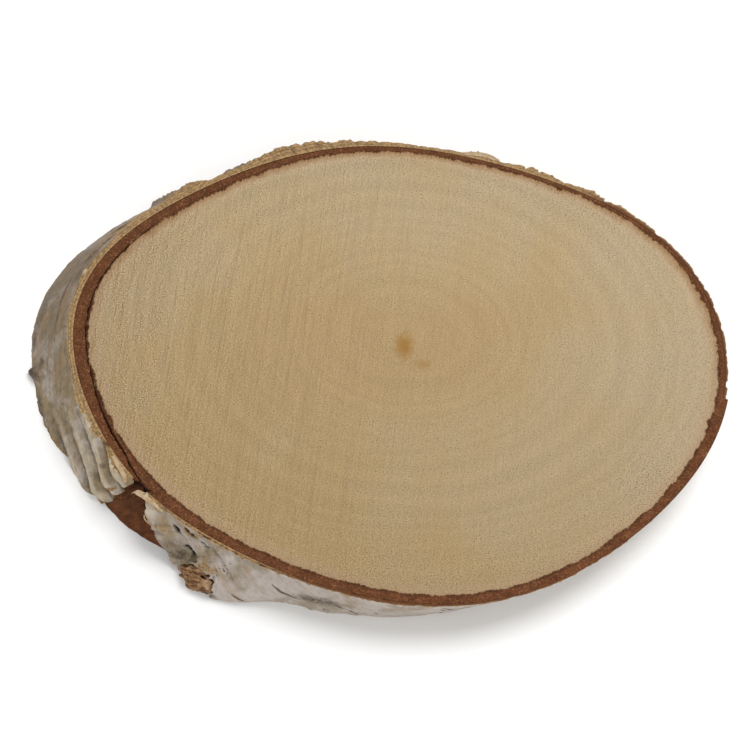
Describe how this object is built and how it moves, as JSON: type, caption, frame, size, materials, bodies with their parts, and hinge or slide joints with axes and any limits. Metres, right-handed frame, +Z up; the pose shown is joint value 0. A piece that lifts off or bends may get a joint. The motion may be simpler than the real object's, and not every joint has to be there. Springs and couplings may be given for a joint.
{
  "type": "birch wood slice",
  "caption": "Oval slice sawn at a slant from a birch trunk, bark on, with two flat faces: a base, plaque, coaster or display board.",
  "frame": {"origin": "middle of the underside of the slice's box, on the surface it lies on", "axes": "+X along the long axis, towards the end where the wall is undercut; +Z up, out of the top face; the trunk runs down towards -X"},
  "size_m": [0.2369, 0.1669, 0.017],
  "materials": {
    "birch_wood": "sawn, matt",
    "inner_bark": "sawn or torn, matt",
    "outer_bark": "papery, matt"
  },
  "bodies": {
    "root": {"birch_slice": "birch_wood"}
  },
  "joints": []
}
